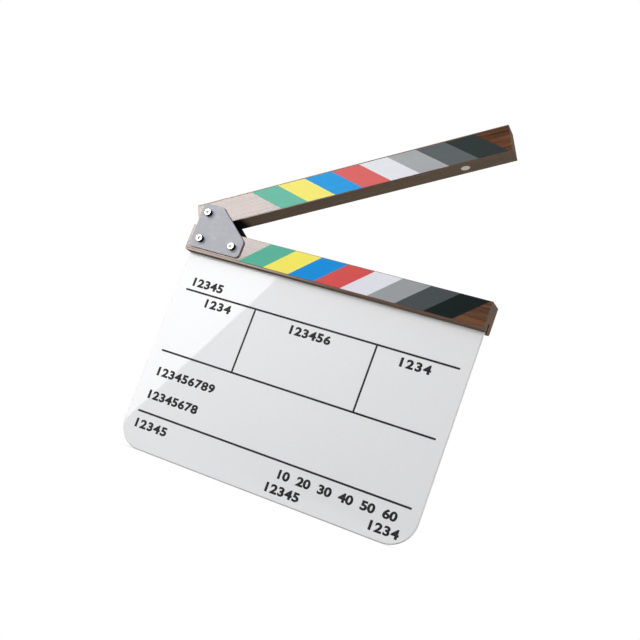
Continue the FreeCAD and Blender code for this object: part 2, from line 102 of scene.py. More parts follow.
class FormSettings(bpy.types.PropertyGroup):
    """Printed form on the slate, measured from the lower stick's hinge end and its underside."""

    ink: colour("Ink", "Colour of the printed lines and numbers", (0.010, 0.010, 0.011))
    film: length("Ink film", "How far the ink stands on the sheet", 0.00004)
    line_weight: length("Line weight", "Width of the printed lines", 0.0018)
    line_start: length("Line start", "Left end of the long lines", 0.0128)
    line_end: length("Line end", "Right end of the long lines", 0.2887)
    top_line: length("Top line", "Drop of the first long line", 0.0352)
    middle_line: length("Middle line", "Drop of the second long line", 0.0968)
    bottom_line: length("Bottom line", "Drop of the third long line", 0.1561)
    left_divider: length("Left divider", "Place of the first upright line", 0.08955)
    right_divider: length("Right divider", "Place of the second upright line", 0.213)
    number_height: length("Number height", "Height of the printed numbers", 0.0083)
    number_weight: amount("Number weight", "Thickening of the strokes, as a share of the height", 0.045)
    number_width: amount("Number width", "How much wider than drawn the numbers are", 1.25)


class SlateSettings(bpy.types.PropertyGroup):
    """Acrylic sheet."""

    face: colour("Face", "Colour of the polished faces", (0.788, 0.793, 0.803))
    edge: colour("Edge", "Colour of the sawn edges", (0.86, 0.855, 0.84))
    # Painted shade: the darker foot colour stands for the shade along the edge that meets the floor
    foot: colour("Foot", "Colour of the scuffed edge that the slate is stood on", (0.48, 0.455, 0.41))
    gloss: amount("Gloss", "Roughness of the polished faces", 0.015)


class WoodSettings(bpy.types.PropertyGroup):
    """Lacquered hardwood of the two sticks."""

    light: colour("Light wood", "Colour between the streaks", (0.190, 0.078, 0.034))
    middle: colour("Middle wood", "Colour of most of the wood", (0.115, 0.047, 0.021))
    dark: colour("Dark wood", "Colour of the streaks", (0.045, 0.020, 0.010))
    streak: length("Streak", "Usual width of a streak across the grain", 0.0022)
    stretch: amount("Stretch", "How much longer than wide a streak is", 26.0)
    lacquer: amount("Lacquer", "Roughness of the lacquer", 0.09)
    bare: colour("Bare wood", "Grey that the unlacquered ends and underside lean to", (0.178, 0.154, 0.116))
    # Painted shade: the near-black grime colour stands for the deep shade on the wood between the hinge
    # plates
    painted_hinge_shade: colour("Grime", "Colour of the wood between the hinge plates", (0.004, 0.003, 0.003))
    painted_shade_reach: length("Grime reach", "Distance from the pivot at which the wood is clean again", 0.038)
    # Painted highlight: the pale worn-edge colour stands for light glinting on the rounded edges, near the
    # hinge and along the upper edges
    wear_and_painted_highlight: colour("Worn edge", "Colour of the edges where hands have rubbed them", (0.880, 0.775, 0.690))
    painted_highlight_reach: length("Worn reach", "Distance from the pivot at which no lower edge is rubbed", 0.18)
    top_painted_highlight: amount("Worn top", "How far the upper edges are rubbed along the whole stick", 0.38)


class BandSettings(bpy.types.PropertyGroup):
    """Colour bands on the sticks."""

    green: colour("Green", "First band from the hinge", (0.095, 0.426, 0.302))
    yellow: colour("Yellow", "Second band", (0.865, 0.767, 0.120))
    blue: colour("Blue", "Third band", (0.004, 0.260, 0.676))
    red: colour("Red", "Fourth band", (0.630, 0.083, 0.078))
    white: colour("White", "Fifth band", (0.720, 0.720, 0.783))
    light_grey: colour("Light grey", "Sixth band", (0.310, 0.325, 0.335))
    dark_grey: colour("Dark grey", "Seventh band", (0.060, 0.070, 0.076))
    black: colour("Black", "Eighth band", (0.003, 0.008, 0.008))
    # Painted light: the clap stick's bands are painted paler than the lower stick's, standing for the
    # stronger light that falls on the clap stick
    fade: amount("Fade", "Power that pales the clap stick's bands, where 1 leaves them alone", 0.86)
    painted_light_white: amount("Haze", "Share of white in the clap stick's faded bands", 0.018)
    roughness: amount("Roughness", "Roughness of the film", 0.5)


class MetalSettings(bpy.types.PropertyGroup):
    """Hinge plates, screws and magnets."""

    plate: colour("Front plate", "Grey coat of the front hinge plate", (0.340, 0.342, 0.380))
    back_plate: colour("Back plate", "Black coat of the back hinge plate", (0.012, 0.012, 0.013))
    steel: colour("Steel", "Bright plated steel of the screws", (0.80, 0.80, 0.79))
    # Painted shade and reflection: the near-black head sides stand for the dark that polished sides mirror
    # and the shade beside them
    painted_dark_side: colour("Oxide", "Black sides of the screw heads", (0.008, 0.008, 0.008))
    nickel: colour("Nickel", "Plating of the magnets", (0.44, 0.42, 0.39))
    zinc: colour("Zinc", "Plating of the slate's screws", (0.56, 0.56, 0.57))
    nylon: colour("Nylon", "Washers beside the clap stick", (0.66, 0.65, 0.61))


class StudioSettings(bpy.types.PropertyGroup):
    """Camera, floor and light."""

    lens: FloatProperty(
        name="Lens", description="Focal length on a 36 mm sensor", default=57.637, unit="CAMERA")
    camera: place("Camera", "Where the camera stands", (0.386607, -0.807523, 0.019656))
    azimuth: angle("Azimuth", "How far the camera stands to the right of the front", 25.400)
    elevation: angle("Elevation", "How far the camera looks down", -9.046)
    roll: angle("Roll", "How far the camera leans to its left", 20.418)
    sky: amount("Sky", "Level of the even light from all round", 0.378)
    floor: colour("Floor", "Colour of the floor", (0.45, 0.45, 0.45))
    floor_lift: amount("Floor lift", "Share of plain white in the floor near the part", 0.4)
    clear_from: length("White from", "Distance from the slate where the floor starts to whiten", 0.0)
    clear_by: length("White by", "Distance from the slate where the floor is plain white", 0.03)
    panel_edge: place("Panel edge", "A point on the panel's inner edge", (-0.66, -1.0, 0.28))
    panel_lean: angle("Panel lean", "Lean of the panel's inner edge from upright", 30.2)
    panel_rise: length("Panel rise", "How far up that edge from the point the panel's middle lies", 0.12)
    panel_width: length("Panel width", "Width of the light panel", 0.42)
    panel_height: length("Panel height", "Height of the light panel", 1.1)
    panel_level: amount("Panel level", "Brightness of the panel's face, where 1 is white", 4.2)
    lamp_place: place("Lamp place", "Middle of the small lamp above the panel", (-0.77, -0.98, 0.52))
    lamp_width: length("Lamp width", "Width of the small lamp", 0.38)
    lamp_height: length("Lamp height", "Height of the small lamp", 0.23)
    lamp_level: amount("Lamp level", "Brightness of the small lamp's face, where 1 is white", 8.3)
    softbox: length("Softbox", "Width and height of the two softboxes", 0.5)
    front_place: place("Front softbox", "Middle of the softbox beside the camera", (0.25, -1.2, 0.31))
    front_level: amount("Front level", "Brightness of the front softbox's face, where 1 is white", 7.6)
    back_place: place("Back softbox", "Middle of the softbox behind the part", (0.5, 0.7, 0.25))
    back_level: amount("Back level", "Brightness of the back softbox's face, where 1 is white", 6.8)
    card: colour("Card", "Colour of the card beside the light panel", (0.05, 0.05, 0.05))
    card_level: amount("Card level", "Brightness of the card at the panel's edge, where 1 is white", 1.1)
    card_reach: length("Card reach", "Distance from the panel at which the card is dark", 0.50)
    card_width: length("Card width", "Width of the card", 0.8)
    card_foot: length("Card foot", "Height of the card's lower edge", 0.0)
    card_top: length("Card top", "Height of the card's upper edge", 0.85)
    card_glow_top: length("Card glow top", "Height above which the card is dark", 0.56)
    card_glow_fade: length("Card glow fade", "Height over which the card darkens below that", 0.1)


SETTINGS = {
    "clapper_form": FormSettings,
    "clapper_slate": SlateSettings,
    "clapper_wood": WoodSettings,
    "clapper_bands": BandSettings,
    "clapper_metal": MetalSettings,
    "clapper_studio": StudioSettings,
}


# Shader maths

class Signal:
    """One output socket. Arithmetic on it adds Math nodes to its tree."""

    def __init__(self, recipe, socket):
        self.recipe = recipe
        self.socket = socket

    def math(self, operation, *others):
        return self.recipe.math(operation, self, *others)

    def __add__(self, other):
        return self.math("ADD", other)

    def __radd__(self, other):
        return self.math("ADD", other)

    def __sub__(self, other):
        return self.math("SUBTRACT", other)

    def __rsub__(self, other):
        return self.recipe.math("SUBTRACT", other, self)

    def __mul__(self, other):
        return self.math("MULTIPLY", other)

    def __rmul__(self, other):
        return self.math("MULTIPLY", other)

    def __pow__(self, other):
        return self.math("POWER", other)

    def __rpow__(self, other):
        return self.recipe.math("POWER", other, self)

    def __gt__(self, other):
        return self.math("GREATER_THAN", other)

    def __lt__(self, other):
        return self.math("LESS_THAN", other)

    def __abs__(self):
        return self.math("ABSOLUTE")


# A Mix node has a set of sockets for each type of data, and these are the places of the colour ones
MIX_FIRST = 6
MIX_SECOND = 7
MIX_RESULT = 2


class Recipe:
    """The node tree of one material or world, built from the inputs to the output."""

    def __init__(self, owner):
        owner.use_nodes = True
        self.tree = owner.node_tree
        self.tree.nodes.clear()

    def add(self, kind, settings=None, sockets=None, output=0):
        """Adds one node: its settings are set first, then its sockets are set or linked."""
        node = self.tree.nodes.new(kind)
        for name, value in (settings or {}).items():
            if name == "stops":
                self.set_stops(node.color_ramp, value)
            else:
                setattr(node, name, value)
        for key, value in (sockets or {}).items():
            if isinstance(value, Signal):
                self.tree.links.new(value.socket, node.inputs[key])
            else:
                node.inputs[key].default_value = value
        return Signal(self, node.outputs[output]) if node.outputs else None

    @staticmethod
    def set_stops(ramp, stops):
        while len(ramp.elements) < len(stops):
            ramp.elements.new(1)
        for element, (position, value) in zip(ramp.elements, stops):
            element.position = position
            element.color = rgba(value)

    def math(self, operation, *inputs):
        return self.add("ShaderNodeMath", {"operation": operation}, dict(enumerate(inputs)))

    def mix(self, factor, first, second):
        """Mixes two colours, each a plain colour or a signal."""
        ends = [value if isinstance(value, Signal) else rgba(value) for value in (first, second)]
        sockets = {0: factor, MIX_FIRST: ends[0], MIX_SECOND: ends[1]}
        return self.add("ShaderNodeMix", {"data_type": "RGBA"}, sockets, output=MIX_RESULT)

    def ramp(self, factor, stops):
        return self.add("ShaderNodeValToRGB", {"stops": stops}, {"Fac": factor})

    def smooth(self, value, low, high):
        """Rises smoothly from 0 at low to 1 at high."""
        sockets = {"Value": value, "From Min": low, "From Max": high}
        return self.add("ShaderNodeMapRange", {"interpolation_type": "SMOOTHSTEP"}, sockets)

    def where(self):
        """The place on the surface, in the piece's own space, so that marks move with the piece."""
        return self.add("ShaderNodeTexCoord", output="Object")

    def facing(self):
        """The direction that the surface faces, in the piece's own space."""
        return self.add("ShaderNodeTexCoord", output="Normal")

    def part(self, vector, axis):
        """One coordinate of a vector."""
        return self.add("ShaderNodeSeparateXYZ", None, {"Vector": vector}, output=axis)

    @staticmethod
    def distance(first, second):
        """Straight distance that a step along each of two axes comes to."""
        return (first * first + second * second) ** 0.5

    def noise(self, marks, turn=0.0, detail=2.0, roughness=0.5):
        """Noise with the given number of marks to a metre along each axis, turned about the depth axis."""
        turned = self.add("ShaderNodeMapping", None, {"Vector": self.where(), "Rotation": (0, turn, 0)})
        scaled_up = self.add("ShaderNodeVectorMath", {"operation": "MULTIPLY"}, {0: turned, 1: marks})
        sockets = {"Vector": scaled_up, "Scale": 1.0, "Detail": detail, "Roughness": roughness}
        return self.add("ShaderNodeTexNoise", None, sockets)

    def bump(self, height, strength, distance):
        sockets = {"Height": height, "Strength": strength, "Distance": distance}
        return self.add("ShaderNodeBump", None, sockets)

    def finish(self, **sockets):
        """Ends a material with one principled surface. Underscores stand for the spaces in socket names."""
        named = {key.replace("_", " "): value for key, value in sockets.items()}
        surface = self.add("ShaderNodeBsdfPrincipled", None, named)
        self.add("ShaderNodeOutputMaterial", None, {"Surface": surface})

    def blend(self, factor, first, second, output="ShaderNodeOutputMaterial"):
        """Ends a tree with a blend of two shaders."""
        shown = self.add("ShaderNodeMixShader", None, {0: factor, 1: first, 2: second})
        self.add(output, None, {"Surface": shown})


def rgba(value):
    """A colour with full cover, as sockets and ramps take it."""
    return (*value[:3], 1.0)


def scaled(tint, factor):
    """A darker or lighter colour, no brighter than white."""
    return [min(1.0, factor * value) for value in tint]


def new_recipe(name):
    """A new material and the recipe of its nodes."""
    material = bpy.data.materials.new(name)
    return material, Recipe(material)


# Finishes

MICRON = 1e-6

# Fineness of the marks in each finish, as marks to a metre along X, Y and Z
SHEET_CLOUDS = (9, 9, 9)
WIPE_MARKS = (30, 30, 420)
HAIRLINES = (60, 60, 2600)
SAW_MARKS = (1800, 60, 1800)
INK_COVER = (900, 900, 900)
FILM_RELIEF = (45, 900, 900)
FILM_SPECKS = (2600, 2600, 2600)
COAT_SKIN = (1500, 1500, 1500)
COAT_RUBS = (130, 130, 260)
STEEL_SMEARS = (700, 700, 700)
NICKEL_SCRATCHES = (500, 500, 2500)
ZINC_SCRATCHES = (900, 900, 900)
NYLON_BLOOM = (600, 600, 600)

# Turn of the slanted marks about the depth axis, in radians
HAIRLINE_TURN = 0.5
SCRATCH_TURN = 0.6

# Levels of the noise from which a mark starts to show and at which it shows in full
HAIRLINE_LEVELS = (0.68, 0.74)
THIN_INK_LEVELS = (0.35, 0.8)
PORE_LEVELS = (0.66, 0.74)
COAT_RUB_LEVELS = (0.45, 0.8)

# Levels of the grain's tone at which the wood is dark, middling and light
GRAIN_LEVELS = (0.36, 0.50, 0.64)

# How squarely a surface faces a way where it starts to count as turned there, and where it counts in full
SHEET_FACE = (0.9, 0.98)
SHEET_FOOT = (0.3, 0.65)
STICK_SIDE = (0.5, 0.9)
STICK_TOP = (0.5, 0.8)
STICK_TOP_EDGE = (0.45, 0.7)
FRONT_EDGE_START = (0.05, 0.3)
FRONT_EDGE_END = (0.9, 0.99)

# Colour of the marks in each finish, as a multiple of its main colour
CLOUD_SHADE = 0.985
SAW_SHADE = 0.82
THIN_INK_SHADE = 2.2
PORE_SHADE = 0.55
RELIEF_SHADES = (0.93, 1.05)
COAT_RUB_SHADE = 1.16
SMEAR_SHADE = 0.86
SCRATCH_SHADE = 0.8
BLOOM_SHADE = 0.9

# Even grey that rubbing adds to a coat
COAT_RUB_HAZE = 0.004

# How far the grey of bare wood and the dark of the pores cover the grain's colour
BARE_COVER = 0.6
PORE_COVER = 0.75

# Share of the painted shade's reach within which the wood is fully black
PAINTED_SHADE_CORE = 0.8

# Refractive indices
ACRYLIC_INDEX = 1.49
LACQUER_INDEX = 1.5

# Heads of the hinge's screws and nuts: how squarely an end face points along the axis at least, teeth round
# the side, distance between the turning marks, and the radius that holds the socket
HEAD_FACE = 0.9
KNURL_TEETH = 42
TURNING_PITCH = 0.00016
SOCKET_REACH = 0.0022


def acrylic_finish(settings):
    """Polished white sheet with faint wiping marks, and duller sawn edges, painted darker underneath as
    shade.
    """
    material, recipe = new_recipe("white_acrylic")
    facing = recipe.facing()
    edge = 1 - recipe.smooth(abs(recipe.part(facing, "Y")), *SHEET_FACE)
    # Painted shade: faces turned down are painted with the darker foot colour
    under = recipe.smooth(0 - recipe.part(facing, "Z"), *SHEET_FOOT)
    cloud = recipe.noise(SHEET_CLOUDS, detail=3)
    wipe = recipe.noise(WIPE_MARKS, detail=4, roughness=0.6)
    hairline = recipe.smooth(recipe.noise(HAIRLINES, HAIRLINE_TURN), *HAIRLINE_LEVELS)
    clean = recipe.mix(cloud, scaled(settings.face, CLOUD_SHADE), settings.face)
    saw = recipe.noise(SAW_MARKS)
    sawn = recipe.mix(saw, scaled(settings.edge, SAW_SHADE), settings.edge)
    recipe.finish(
        Base_Color=recipe.mix(edge, clean, recipe.mix(under, sawn, settings.foot)),
        Roughness=settings.gloss + wipe * 0.015 + hairline * 0.04 + edge * 0.3,
        Normal=recipe.bump(edge * saw, strength=0.4, distance=30 * MICRON),
        IOR=ACRYLIC_INDEX)
    return material


def ink_finish(settings):
    """Screen ink with a slightly uneven film."""
    material, recipe = new_recipe("screen_ink")
    cover = recipe.noise(INK_COVER, detail=3)
    thin = recipe.smooth(cover, *THIN_INK_LEVELS)
    recipe.finish(
        Base_Color=recipe.mix(thin, settings.ink, scaled(settings.ink, THIN_INK_SHADE)),
        Roughness=0.42 + cover * 0.16,
        Specular_IOR_Level=0.2,
        Normal=recipe.bump(cover, strength=0.25, distance=8 * MICRON))
    return material


def wood_grain(recipe, settings, turn):
    """Streaks, fibres, pores and colour of the bare grain, along a stick turned by the given angle."""
    across = 1 / settings.streak
    along = across / settings.stretch
    figure = recipe.noise((along / 3, across / 4, across / 4), turn, detail=3)
    streaks = recipe.noise((along, across, across), turn, detail=5, roughness=0.62)
    fibres = recipe.noise((along, 5 * across, 5 * across), turn)
    pits = recipe.noise((3 * along, 6 * across, 6 * across), turn, detail=1)
    pores = recipe.smooth(pits, *PORE_LEVELS)
    tone = streaks * 0.62 + figure * 0.28 + fibres * 0.10
    stops = list(zip(GRAIN_LEVELS, (settings.dark, settings.middle, settings.light)))
    return streaks, fibres, pores, recipe.ramp(tone, stops)


def from_pivot(recipe):
    """Distance from the hinge's axis."""
    where = recipe.where()
    return recipe.distance(recipe.part(where, "X") - PIVOT.x, recipe.part(where, "Z") - PIVOT.z)


def wood_finish(name, settings, turn, inner):
    """Oiled hardwood, lacquered in front and on top, with black painted shade between the hinge plates and
    pale painted highlights on the edges.

    The grain runs along a stick turned by the given angle. The side that meets the other stick faces up or
    down, as inner is 1 or -1.
    """
    material, recipe = new_recipe(name)
    streaks, fibres, pores, body = wood_grain(recipe, settings, turn)
    facing = recipe.facing()
    forward = 0 - recipe.part(facing, "Y")
    upward = recipe.part(facing, "Z")
    front = recipe.smooth(forward, *STICK_SIDE)
    top = recipe.smooth(upward, *STICK_TOP)
    bare = (1 - recipe.smooth(abs(forward), *STICK_SIDE)) * (1 - top)
    distance = from_pivot(recipe)
    # Painted shade: faces between the hinge plates, near the pivot, are painted near-black
    inward = recipe.smooth(upward * inner, *STICK_TOP)
    near = 1 - recipe.smooth(distance, PAINTED_SHADE_CORE * settings.painted_shade_reach, settings.painted_shade_reach)
    painted_shade = inward * near
    # Painted highlight: rounded front edges are painted pale near the hinge and along the top of each stick
    hinge_end_highlight = 1 - recipe.smooth(distance, 0, settings.painted_highlight_reach)
    upper_edge = recipe.smooth(upward, *STICK_TOP_EDGE) * settings.top_painted_highlight
    front_edge = recipe.smooth(forward, *FRONT_EDGE_START) * (1 - recipe.smooth(forward, *FRONT_EDGE_END))
    lightened = front_edge * hinge_end_highlight.math("MAXIMUM", upper_edge) * (0.7 + streaks * 0.4)
    dulled = recipe.mix(bare * BARE_COVER, body, settings.bare)
    stained = recipe.mix(pores * PORE_COVER, dulled, scaled(settings.dark, PORE_SHADE))
    recipe.finish(
        Base_Color=recipe.mix(painted_shade, recipe.mix(lightened, stained, settings.wear_and_painted_highlight), settings.painted_hinge_shade),
        Roughness=0.5 + fibres * 0.16 + bare * 0.25,
        Normal=recipe.bump(fibres * 0.4 - pores, strength=0.35, distance=25 * MICRON),
        Specular_IOR_Level=0.05,
        Coat_Weight=front.math("MAXIMUM", top * (1 - painted_shade)),
        Coat_Roughness=settings.lacquer,
        Coat_IOR=LACQUER_INDEX)
    return material


def band_finish(name, tint, settings, turn):
    """Satin colour film that lets a little of the wood's grain show through as relief."""
    material, recipe = new_recipe(name)
    relief = recipe.noise(FILM_RELIEF, turn, detail=3)
    speck = recipe.noise(FILM_SPECKS, detail=1)
    darker, lighter = [scaled(tint, shade) for shade in RELIEF_SHADES]
    recipe.finish(
        Base_Color=recipe.mix(relief, darker, lighter),
        Roughness=settings.roughness + speck * 0.12,
        Normal=recipe.bump(relief * 0.7 + speck * 0.3, strength=0.3, distance=20 * MICRON),
        Specular_IOR_Level=0.12)
    return material


def plate_finish(name, tint, roughness):
    """Coated plate with a fine orange-peel skin and faint rubbed patches."""
    material, recipe = new_recipe(name)
    skin = recipe.noise(COAT_SKIN)
    rubs = recipe.noise(COAT_RUBS, detail=4, roughness=0.65)
    wear_and_painted_highlight = recipe.smooth(rubs, *COAT_RUB_LEVELS)
    shine = [value + COAT_RUB_HAZE for value in scaled(tint, COAT_RUB_SHADE)]
    recipe.finish(
        Base_Color=recipe.mix(wear_and_painted_highlight, tint, shine),
        Roughness=roughness + skin * 0.08 - wear_and_painted_highlight * 0.06,
        Normal=recipe.bump(skin, strength=0.3, distance=15 * MICRON))
    return material


def screw_finish(name, steel, painted_dark_side, centres):
    """Bright turned end faces, and straight-knurled sides painted black as shade and dark reflection, for
    heads on the given axes.
    """
    material, recipe = new_recipe(name)
    where = recipe.where()
    across = recipe.part(where, "X")
    first, last = centres
    is_last = across > (first.x + last.x) / 2
    from_x = across - (first.x + is_last * (last.x - first.x))
    from_z = recipe.part(where, "Z") - (first.z + is_last * (last.z - first.z))
    radius = recipe.distance(from_x, from_z)
    turn = from_z.math("ARCTAN2", from_x)
    facing = abs(recipe.part(recipe.facing(), "Y"))
    # Painted shade and reflection: the heads' sides, outside the socket, are painted near-black
    side = (facing < HEAD_FACE) * (radius > SOCKET_REACH)
    rings = (radius * (2 * math.pi / TURNING_PITCH)).math("SINE")
    teeth = (turn * KNURL_TEETH).math("SINE")
    smear = recipe.noise(STEEL_SMEARS, detail=3)
    turned = recipe.mix(smear, scaled(steel, SMEAR_SHADE), steel)
    recipe.finish(
        Base_Color=recipe.mix(side, turned, painted_dark_side),
        Metallic=1.0,
        Roughness=0.38 + smear * 0.1,
        Normal=recipe.bump(rings * (1 - side) * 0.2 + teeth * side, strength=0.5, distance=15 * MICRON))
    return material


def metal_finish(name, tint, roughness, scratches):
    """Plated metal with fine scratches."""
    material, recipe = new_recipe(name)
    fine = recipe.noise(scratches, SCRATCH_TURN, detail=3)
    recipe.finish(
        Base_Color=recipe.mix(fine, scaled(tint, SCRATCH_SHADE), tint),
        Metallic=1.0,
        Roughness=roughness + fine * 0.12,
        Normal=recipe.bump(fine, strength=0.25, distance=6 * MICRON))
    return material


def nylon_finish(settings):
    """Natural nylon with a faint moulded bloom."""
    material, recipe = new_recipe("natural_nylon")
    bloom = recipe.noise(NYLON_BLOOM, detail=3)
    recipe.finish(
        Base_Color=recipe.mix(bloom, scaled(settings.nylon, BLOOM_SHADE), settings.nylon),
        Roughness=0.4 + bloom * 0.15,
        Normal=recipe.bump(bloom, strength=0.2, distance=10 * MICRON))
    return material


# Mesh helpers

# Steps round each end of a printed line
BAR_END_STEPS = 6

# Share of the ink film's height that it reaches down into the sheet, so that it leaves no gap
FILM_ROOT = 0.5

# Film height of the upright lines as a share of the long ones', so that no two faces coincide
DIVIDER_FILM = 0.9


def paint(node, material):
    """Gives a node of the frame a new finish."""
    for slot in frame["nodes"][node].material_slots:
        slot.material = material


def on_form(across, drop):
    """A point of the slate's front face, from distances along the lower stick and below it."""
    return Vector((STICK_LOW.x + across, BOARD_LOW.y, STICK_LOW.z - drop))


def add_piece(name, mesh, material, body):
    """Links a finished mesh as a piece of the part."""
    piece = bpy.data.objects.new(name, mesh)
    bpy.context.scene.collection.objects.link(piece)
    mesh.materials.append(material)
    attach(piece, body)


def head_axes(node):
    """Axes of the first and last turned piece of a node, as points at its front."""
    low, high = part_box(node)
    radius = (high.z - low.z) / 2
    return Vector((low.x + radius, low.y, low.z + radius)), Vector((high.x - radius, low.y, low.z + radius))


def add_bar(target, start, end, width, film):
    """Adds a printed bar with rounded ends between two points of the slate's face."""
    heading = (end - start).normalized()
    aside = Vector((heading.z, 0, -heading.x))
    outline = []
    for tip, sign in ((end, 1), (start, -1)):
        for step in range(BAR_END_STEPS + 1):
            swing = math.pi * step / BAR_END_STEPS
            outline.append(tip + (aside * math.cos(swing) + heading * math.sin(swing)) * sign * width / 2)
    add_film(target, outline, film)


def add_film(target, outline, film):
    """Adds a closed film with the given outline, standing on the slate's front face."""
    lift = Vector((0, -film, 0))
    foot = [target.verts.new(point - lift * FILM_ROOT) for point in outline]
    top = [target.verts.new(point + lift) for point in outline]
    target.faces.new(foot)
    target.faces.new(top[::-1])
    for index in range(len(outline)):
        following = (index + 1) % len(outline)
        target.faces.new((foot[following], foot[index], top[index], top[following]))


def number_mesh(text, form):
    """A raised number in its own plane, with its middle at the origin."""
    curve = bpy.data.curves.new("number", "FONT")
    curve.body = text
    curve.size = form.number_height
    curve.align_x = "CENTER"
    curve.bevel_depth = form.number_weight * form.number_height
    curve.bevel_resolution = 0
    holder = bpy.data.objects.new("number", curve)
    mesh = bpy.data.meshes.new_from_object(holder)
    bpy.data.objects.remove(holder)
    bpy.data.curves.remove(curve)
    tallest = max(vertex.co.y for vertex in mesh.vertices)
    lowest = min(vertex.co.y for vertex in mesh.vertices)
    mesh.transform(Matrix.Translation((0, -(tallest + lowest) / 2, 0)))
    fit = form.number_height / (tallest - lowest)
    flat = form.film / max(vertex.co.z for vertex in mesh.vertices)
    mesh.transform(Matrix.Diagonal((fit * form.number_width, fit, flat, 1)))
    return mesh


# Rows of plain numbers: how many, the step between them, then the row's left end, right end and drop
NUMBER_ROWS = (
    (5, 1, 0.0146, 0.0505, 0.0266),
    (4, 1, 0.0350, 0.0660, 0.0431),
    (6, 1, 0.1270, 0.1710, 0.0439),
    (4, 1, 0.2350, 0.2670, 0.0436),
    (9, 1, 0.0140, 0.0800, 0.1164),
    (8, 1, 0.0140, 0.0710, 0.1389),
    (5, 1, 0.0120, 0.0500, 0.1671),
    (6, 10, 0.1620, 0.2840, 0.1668),
    (5, 1, 0.1580, 0.1940, 0.1802),
    (4, 1, 0.2570, 0.2870, 0.1796),
)


# Operators

class CLAPPER_OT_slate(bpy.types.Operator):
    """Finish the acrylic slate"""

    bl_idname = "clapper.slate"
    bl_label = "Slate"

    def execute(self, context):
        paint("acrylic_board", acrylic_finish(context.scene.clapper_slate))
        return {"FINISHED"}


class CLAPPER_OT_form_lines(bpy.types.Operator):
    """Print the lines of the form on the slate"""

    bl_idname = "clapper.form_lines"
    bl_label = "Form lines"

    def execute(self, context):
        form = context.scene.clapper_form
        target = bmesh.new()
        for drop in (form.top_line, form.middle_line, form.bottom_line):
            start, end = on_form(form.line_start, drop), on_form(form.line_end, drop)
            add_bar(target, start, end, form.line_weight, form.film)
        for across in (form.left_divider, form.right_divider):
            start, end = on_form(across, form.top_line), on_form(across, form.middle_line)
            add_bar(target, start, end, form.line_weight, form.film * DIVIDER_FILM)
        mesh = bpy.data.meshes.new("form_lines")
        bmesh.ops.recalc_face_normals(target, faces=target.faces)
        target.to_mesh(mesh)
        target.free()
        add_piece("form_lines", mesh, ink_finish(form), "slate")
        return {"FINISHED"}


class CLAPPER_OT_form_numbers(bpy.types.Operator):
    """Print rows of plain numbers in the fields of the form"""

    bl_idname = "clapper.form_numbers"
    bl_label = "Form numbers"

    def execute(self, context):
        form = context.scene.clapper_form
        target = bmesh.new()
        upright = Matrix.Rotation(math.radians(90), 4, "X")
        for count, step, start, end, drop in NUMBER_ROWS:
            pitch = (end - start) / count
            for index in range(count):
                mesh = number_mesh(str((index + 1) * step), form)
                middle = on_form(start + (index + 0.5) * pitch, drop)
                mesh.transform(Matrix.Translation(middle) @ upright)
                target.from_mesh(mesh)
                bpy.data.meshes.remove(mesh)
        mesh = bpy.data.meshes.new("form_numbers")
        target.to_mesh(mesh)
        target.free()
        material = bpy.data.materials.get("screen_ink") or ink_finish(form)
        add_piece("form_numbers", mesh, material, "slate")
        return {"FINISHED"}


class CLAPPER_OT_sticks(bpy.types.Operator):
    """Finish the two hardwood sticks"""

    bl_idname = "clapper.sticks"
    bl_label = "Sticks"

    def execute(self, context):
        wood = context.scene.clapper_wood
        paint("lower_stick", wood_finish("lower_hardwood", wood, turn=0.0, inner=1))
        paint("upper_stick", wood_finish("upper_hardwood", wood, turn=REST_ANGLE, inner=-1))
        return {"FINISHED"}


class CLAPPER_OT_bands(bpy.types.Operator):
    """Finish the colour bands of both sticks"""

    bl_idname = "clapper.bands"
    bl_label = "Colour bands"

    def execute(self, context):
        bands = context.scene.clapper_bands
        # Painted light: the clap stick's copies of the band colours are paled to stand for the stronger
        # light on them
        looks = (("lower", 0.0, 1.0, 0.0), ("upper", REST_ANGLE, bands.fade, bands.painted_light_white))
        for stick, turn, fade, painted_light_white in looks:
            for name in BAND_COLOURS:
                node = f"{stick}_band_{name}"
                tint = [value ** fade * (1 - painted_light_white) + painted_light_white for value in getattr(bands, name)]
                paint(node, band_finish(node, tint, bands, turn))
        return {"FINISHED"}


class CLAPPER_OT_hinge_plates(bpy.types.Operator):
    """Finish the hinge plates"""

    bl_idname = "clapper.hinge_plates"
    bl_label = "Hinge plates"

    def execute(self, context):
        metal = context.scene.clapper_metal
        paint("front_hinge_plate", plate_finish("grey_coat", metal.plate, roughness=0.40))
        paint("back_hinge_plate", plate_finish("black_coat", metal.back_plate, roughness=0.45))
        return {"FINISHED"}


class CLAPPER_OT_screws(bpy.types.Operator):
    """Finish the hinge's screws and barrel nuts"""

    bl_idname = "clapper.screws"
    bl_label = "Hinge screws"

    def execute(self, context):
        metal = context.scene.clapper_metal
        for node in ("pivot_screw", "fixing_screws", "pivot_barrel_nut", "fixing_barrel_nuts"):
            paint(node, screw_finish(f"{node}_steel", metal.steel, metal.painted_dark_side, head_axes(node)))
        return {"FINISHED"}


class CLAPPER_OT_small_parts(bpy.types.Operator):
    """Finish the washers, the magnets and the slate's screws"""

    bl_idname = "clapper.small_parts"
    bl_label = "Washers, magnets and slate screws"

    def execute(self, context):
        metal = context.scene.clapper_metal
        paint("pivot_washers", nylon_finish(metal))
        nickel = metal_finish("nickel_plate", metal.nickel, roughness=0.2, scratches=NICKEL_SCRATCHES)
        for node in ("lower_magnet", "upper_magnet"):
            paint(node, nickel)
        zinc = metal_finish("zinc_plate", metal.zinc, roughness=0.3, scratches=ZINC_SCRATCHES)
        paint("board_screws", zinc)
        return {"FINISHED"}


# Studio

WHITE = rgba((1, 1, 1))
FLOOR_SIZE = 60.0
SENSOR_WIDTH = 36.0
BACKGROUND_RAYS = ("Is Camera Ray", "Is Glossy Ray", "Is Transmission Ray")

# Half the length of the line under the slate that the floor's whitening is measured from
FOOT_REACH = 0.118


